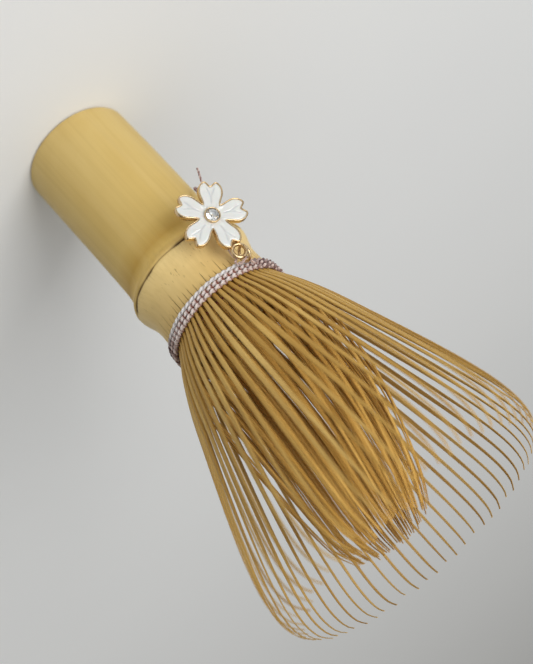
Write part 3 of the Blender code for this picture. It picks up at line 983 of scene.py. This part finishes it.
def loose_thread(name, node, knots, turns, mat, colours, plum_from=0.0):
    """A two-ply thread along smooth knots, one ply pale and one turning dark along it."""
    skin = Skin(name)
    steps = 40 * (len(knots) - 1) // 2
    path = smooth_path(knots)
    centres = [Vector(path(i / steps)) * MM for i in range(steps + 1)]

    def dyes(ply, share):
        pale, dark = colours
        dark = BLUSH.lerp(dark, smooth(0.3, 0.65, share + plum_from))
        return (pale if ply == 0 else dark).lerp(MAUVE, 0.2 + 0.15 * math.sin(share * 9.0))

    plies = (LOOSE_PLY_RADIUS, LOOSE_PLY_OFFSET)
    add_ply_cord(skin, centres, *plies, lambda share: turns * math.tau * share, dyes)
    stand_for(skin.build([mat], sharp_degrees=80.0), node, ROOT_BODY)


def tie_threads(mat):
    loose_thread("charm_tie_cord", "charm_tie_thread", TIE_PATH, 26, mat, (BLUSH, PLUM.lerp(MAUVE, 0.4)))
    loose_thread("charm_cord_end", "charm_thread_end", SECOND_END_PATH, 12, mat, (MAUVE, PLUM), plum_from=1.0)


# ---- the charm

JOINTS = {joint["name"]: joint for joint in frame["joints"]}
RING_CENTRE = Vector(JOINTS["charm_swing"]["pos_m"])
RING_RADIUS = 1.6 * MM
RING_WIRE = 0.3 * MM
EYELET_CENTRE = Vector((0.35 * MM, -16.1 * MM, 52.05 * MM))
EYELET_DISTANCE = 8.6 * MM
EYELET_RADIUS = 1.38 * MM
EYELET_WIRE = 0.38 * MM
OUTWARD_TILT = math.radians(18.8)
SIDE_TILT = math.radians(11.9)
ROLL = math.radians(5.5)
PETALS = 5
PETAL_STEPS = 48
PETAL_KNOTS = ((1.73, 2.39), (2.1, 3.6), (2.48, 5.0), (2.2, 6.45), (1.15, 7.3), (0.0, 6.35))
PLATE_BACK = -0.62
PLATE_FLOOR = -0.1
RIM_TOP = 0.75
RIM_WIDTH = 0.3
CUP_RADIUS = 1.62
CUP_BORE = 1.38
CUP_TOP = 1.15
ENAMEL_EDGE = 0.5
DOME_HEIGHT = 0.16
VEIN_DEPTH = 0.12
STONE_RINGS = (
    (0.66, 1.44, 8, 0.0),
    (1.0, 1.27, 8, 0.5),
    (1.27, 1.0, 16, 0.0),
    (1.27, 0.93, 16, 0.0),
    (0.1, 0.2, 8, 0.0),
)
FOIL_RINGS = ((1.33, 0.86, 16, 0.0), (0.7, 0.12, 16, 0.5), (0.2, 0.03, 16, 0.0), (1.33, 0.03, 16, 0.0))


def charm_place():
    """The charm's own frame: +Y from its centre to the eyelet, +Z out of its face, in millimetres."""
    lean = (
        Matrix.Rotation(SIDE_TILT, 4, "Z")
        @ Matrix.Rotation(-OUTWARD_TILT, 4, "X")
        @ Matrix.Rotation(math.pi / 2.0, 4, "X")
        @ Matrix.Rotation(ROLL, 4, "Z")
    )
    centre = EYELET_CENTRE - lean @ Vector((0.0, EYELET_DISTANCE, 0.0))
    return Matrix.Translation(centre) @ lean @ Matrix.Scale(MM, 4)


def turned(x, y, angle):
    return Vector((x * math.cos(angle) - y * math.sin(angle), x * math.sin(angle) + y * math.cos(angle), 0.0))


def blossom_edge():
    """Points round the blossom, each petal running from valley to lobe, notch, lobe and next valley."""
    half_steps = PETAL_STEPS // 2
    side = smooth_path(PETAL_KNOTS)
    edge = []
    for petal in range(PETALS):
        turn = math.tau * petal / PETALS
        half = [side(i / half_steps) for i in range(half_steps + 1)]
        edge += [turned(x, y, turn) for x, y in half[:-1]]
        edge += [turned(-x, y, turn) for x, y in reversed(half[1:])]
    edge.reverse()
    return edge


def inset_edge(edge, distance):
    """The edge moved in along its own normals."""
    moved = []
    count = len(edge)
    for i, point in enumerate(edge):
        step = edge[(i + 1) % count] - edge[i - 1]
        normal = Vector((-step.y, step.x, 0.0)).normalized()
        if normal.dot(point) > 0.0:
            normal = -normal
        moved.append(point + normal * distance)
    return moved


def lifted(points, height, place):
    return [place @ Vector((p.x, p.y, height)) for p in points]


def to_circle(points, radius, share):
    """Points part of the way from an edge to a circle, each along its own direction."""
    return [p.lerp(p.normalized() * radius, share) for p in points]


def charm_base(mat, place):
    """The gold casting: plate, rounded rim and cup, with the eyelet ring and its neck."""
    skin = Skin("charm_casting")
    edge = blossom_edge()
    back = inset_edge(edge, 0.16)
    profile = [(to_circle(back, 0.05, share), PLATE_BACK) for share in (1.0, 0.7, 0.4)]
    for inset, height in (
        (0.16, PLATE_BACK),
        (0.05, PLATE_BACK + 0.05),
        (0.0, PLATE_BACK + 0.17),
        (0.0, 0.0),
        (0.0, RIM_TOP - 0.16),
        (0.04, RIM_TOP - 0.05),
        (0.12, RIM_TOP),
        (0.2, RIM_TOP),
        (0.27, RIM_TOP - 0.05),
        (RIM_WIDTH, RIM_TOP - 0.16),
        (RIM_WIDTH, PLATE_FLOOR),
    ):
        profile.append((inset_edge(edge, inset), height))
    floor = inset_edge(edge, RIM_WIDTH)
    profile.append((to_circle(floor, CUP_RADIUS, 0.5), PLATE_FLOOR))
    for radius, height in (
        (CUP_RADIUS, PLATE_FLOOR),
        (CUP_RADIUS, CUP_TOP - 0.12),
        (CUP_RADIUS - 0.05, CUP_TOP - 0.03),
        (CUP_RADIUS - 0.12, CUP_TOP),
        (CUP_BORE + 0.05, CUP_TOP - 0.02),
        (CUP_BORE, CUP_TOP - 0.12),
        (CUP_BORE, 0.0),
        (0.05, 0.0),
    ):
        profile.append((to_circle(edge, radius, 1.0), height))
    skin.tube([lifted(points, height, place) for points, height in profile])
    ring = [place @ Vector((0.0, EYELET_DISTANCE / MM, 0.0)) + charm_turn(place, i / 40.0) for i in range(40)]
    frames = carried_frames(ring, closed=True)
    skin.tube([circle_section(p, f, EYELET_WIRE, 14) for p, f in zip(ring, frames)], closed=True)
    neck_end = EYELET_DISTANCE / MM - EYELET_RADIUS / MM
    neck = []
    for y, half_width, low, high in (
        (6.0, 0.95, -0.55, -0.15),
        (6.6, 0.95, -0.55, -0.05),
        (7.1, 0.8, -0.5, 0.1),
        (neck_end + 0.1, 0.55, -0.25, 0.2),
    ):
        corners = ((-half_width, low), (half_width, low), (half_width, high), (-half_width, high))
        neck.append([place @ Vector((x, y, z)) for x, z in corners])
    skin.tube(neck)
    stand_for(skin.build([mat], sharp_degrees=50.0), "charm_base", "charm")


def charm_turn(place, share):
    """A point of the eyelet's circle, as an offset from its centre."""
    angle = math.tau * share
    local = Vector((EYELET_RADIUS / MM * math.cos(angle), EYELET_RADIUS / MM * math.sin(angle), 0.0))
    return place.to_3x3() @ local


def vein_strength(x, y):
    """How close a point of a petal lies to its forked vein, from 0 to 1."""
    x = abs(x)
    fork = 3.9
    if y < fork:
        distance = math.hypot(x, min(0.0, y - 1.9))
    else:
        share = min(1.0, (y - fork) / 2.2)
        distance = abs(x - 0.85 * share)
    fade = smooth(1.9, 3.0, y) * (1.0 - smooth(5.6, 6.5, y))
    return math.exp(-((distance / 0.17) ** 2)) * fade


def in_petal(point):
    """A point's place in its own petal's frame, with +Y from the centre out along the petal."""
    angle = math.atan2(point.x, point.y)
    petal = round(angle / (math.tau / PETALS))
    own = angle - petal * math.tau / PETALS
    reach = math.hypot(point.x, point.y)
    return reach * math.sin(own), reach * math.cos(own)


def charm_enamel(mat, place):
    """The white fill: domed in each petal and creased along its vein."""
    skin = Skin("charm_enamel_fill")
    edge = inset_edge(blossom_edge(), RIM_WIDTH + 0.01)
    inner = CUP_RADIUS + 0.01
    steps = 22
    rings, veins = [], []
    for points, height in ((to_circle(edge, inner, 1.0), PLATE_FLOOR + 0.03), (edge, PLATE_FLOOR + 0.03)):
        rings.append(lifted(points, height, place))
        veins.append([0.0] * len(points))
    for i in range(steps + 1):
        share = i / steps
        reach = share * 1.15
        dome = DOME_HEIGHT * math.sin(math.pi * reach) ** 0.6 if reach < 1.0 else 0.0
        ring, vein = [], []
        for point in to_circle(edge, inner, share):
            strength = vein_strength(*in_petal(point))
            ring.append(place @ Vector((point.x, point.y, ENAMEL_EDGE + dome - VEIN_DEPTH * strength)))
            vein.append(strength)
        rings.append(ring)
        veins.append(vein)
    # The vein strength also sets the painted shade in the creases.
    skin.tube(rings, closed=True, vein=veins)
    stand_for(skin.build([mat], sharp_degrees=50.0), "charm_enamel", "charm")


def hull_piece(name, points, mat):
    """The closed faceted solid round the points."""
    shape = bmesh.new()
    for point in points:
        shape.verts.new(point)
    bmesh.ops.convex_hull(shape, input=shape.verts)
    loose = [v for v in shape.verts if not v.link_faces]
    bmesh.ops.delete(shape, geom=loose, context="VERTS")
    bmesh.ops.recalc_face_normals(shape, faces=shape.faces)
    mesh = bpy.data.meshes.new(name)
    shape.to_mesh(mesh)
    shape.free()
    mesh.materials.append(mat)
    return add_object(name, mesh)


def faceted_rings(place, rings):
    """Rings of points, each from a radius, a height, a count and a turn in steps."""
    made = []
    for radius, height, count, shift in rings:
        angles = [math.tau * (i + shift) / count for i in range(count)]
        made.append([place @ polar(radius, angle, height) for angle in angles])
    return made


def charm_crystal(stone, foil, place):
    corners = [point for ring in faceted_rings(place, STONE_RINGS) for point in ring]
    stand_for(hull_piece("charm_stone", corners, stone), "charm_crystal", "charm")
    lining = Skin("charm_stone_foil")
    lining.tube(faceted_rings(place, FOIL_RINGS), closed=True)
    under = lining.build([foil], sharp_degrees=20.0)
    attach(under, "charm")


def jump_ring(mat):
    """A bent wire ring with its closed seam, in the plane across the front."""
    skin = Skin("jump_ring_wire")
    steps = 72
    seam = math.radians(3.0)
    start = math.radians(200.0)
    points = []
    for i in range(steps + 1):
        angle = start + seam / 2.0 + (math.tau - seam) * i / steps
        y, z = RING_RADIUS * math.cos(angle), RING_RADIUS * math.sin(angle)
        points.append(RING_CENTRE + Vector((0.0, y, z)))
    frames = carried_frames(points)
    skin.tube([circle_section(p, f, RING_WIRE, 14) for p, f in zip(points, frames)])
    stand_for(skin.build([mat], sharp_degrees=50.0), "jump_ring", "jump_ring")


# ---- the studio

CAMERA_PLACE = Vector((153.2, -186.2, 180.7)) * MM
CAMERA_FORWARD = Vector((-0.58, 0.6857, -0.4397))
CAMERA_RIGHT = Vector((-0.7519, -0.2429, 0.6129))
CAMERA_LENS = 73.7
CAMERA_STOP = 14.0
CAMERA_FOCUS = Vector((0.0, -14.5, 51.0)) * MM
ROOM_LIGHT_AZIMUTH = -95.0
ROOM_LIGHT_ELEVATION = 40.0
ROOM_DIM = 0.05
ROOM_BRIGHT = 0.42
BACKDROP = 0.6


def camera():
    data = bpy.data.cameras.new("camera")
    data.lens = CAMERA_LENS
    data.sensor_width = 36.0
    data.clip_start = 0.01
    data.clip_end = 20.0
    focus = add_object("camera_focus", None)
    focus.location = CAMERA_FOCUS
    data.dof.use_dof = True
    data.dof.focus_object = focus
    data.dof.aperture_fstop = CAMERA_STOP
    thing = add_object("camera", data)
    back = -CAMERA_FORWARD.normalized()
    right = (CAMERA_RIGHT - back * CAMERA_RIGHT.dot(back)).normalized()
    up = back.cross(right)
    turn = Matrix((right, up, back)).transposed()
    thing.matrix_world = Matrix.Translation(CAMERA_PLACE) @ turn.to_4x4()
    bpy.context.scene.camera = thing


def area_light(name, azimuth, elevation, distance, size, power, colour):
    """A square softbox aimed at the middle of the whisk."""
    target = Vector((0.0, 0.0, 55.0 * MM))
    e = math.radians(elevation)
    direction = polar(math.cos(e), math.radians(azimuth), math.sin(e))
    data = bpy.data.lights.new(name, "AREA")
    data.shape = "SQUARE"
    data.size = size
    data.energy = power
    data.color = colour
    thing = add_object(name, data)
    thing.location = target + direction * distance
    thing.rotation_euler = direction.to_track_quat("Z", "Y").to_euler()


def soft_room():
    """A pale room, brighter towards the window side and dimmer behind the whisk."""
    world = bpy.data.worlds.new("soft_room")
    world.use_nodes = True
    nodes = Nodes(world.node_tree)
    coordinates = nodes.node("ShaderNodeTexCoord")
    facing = nodes.node("ShaderNodeVectorMath", operation="DOT_PRODUCT")
    elevation = math.radians(ROOM_LIGHT_ELEVATION)
    bright = polar(math.cos(elevation), math.radians(ROOM_LIGHT_AZIMUTH), math.sin(elevation))
    nodes.put(facing.inputs[0], coordinates.outputs["Generated"])
    nodes.put(facing.inputs[1], bright)
    ramp = nodes.node("ShaderNodeMapRange", interpolation_type="SMOOTHSTEP")
    nodes.feed(ramp, Value=facing.outputs["Value"], From_Min=-0.8, From_Max=0.9)
    nodes.feed(ramp, To_Min=ROOM_DIM, To_Max=ROOM_BRIGHT)
    sight = nodes.node("ShaderNodeLightPath")
    seen = nodes.math("MULTIPLY", sight.outputs["Is Camera Ray"], BACKDROP)
    background = world.node_tree.nodes["Background"]
    nodes.put(background.inputs[0], (*srgb(244, 241, 234), 1.0))
    nodes.put(background.inputs[1], nodes.math("MAXIMUM", ramp.outputs["Result"], seen))
    return world


def studio():
    scene = bpy.context.scene
    scene.view_settings.view_transform = "Standard"
    scene.world = soft_room()
    area_light("window", -92.0, 34.0, 0.9, 0.6, 5.1, (1.0, 0.985, 0.96))
    area_light("overhead", -60.0, 78.0, 1.1, 0.9, 3.5, (0.98, 0.99, 1.0))
    skin = Skin("studio_floor")
    half, drop = 4.0, 0.02
    top = -0.2 * MM
    corners = ((-half, -half), (half, -half), (half, half), (-half, half))
    skin.tube([[Vector((x, y, top - drop)) for x, y in corners], [Vector((x, y, top)) for x, y in corners]])
    floor = skin.build([studio_floor()])


# ---- the whole


def main():
    cane_handle(cane_skin(), cane_end(), cane_pith())
    outer = tine_strip("outer_tine_cane", srgb(214, 180, 108), srgb(198, 160, 85), srgb(172, 131, 60))
    inner = tine_strip("inner_tine_cane", srgb(236, 192, 106), srgb(218, 172, 88), srgb(190, 144, 66))
    tine_bundles(outer, inner)
    thread = dyed_thread()
    binding_thread(thread)
    spacer_thread(thread)
    tie_threads(thread)
    gold = gold_plate()
    place = charm_place()
    charm_base(gold, place)
    charm_enamel(white_enamel(), place)
    charm_crystal(clear_stone(), stone_foil(), place)
    jump_ring(gold)
    camera()
    studio()


main()
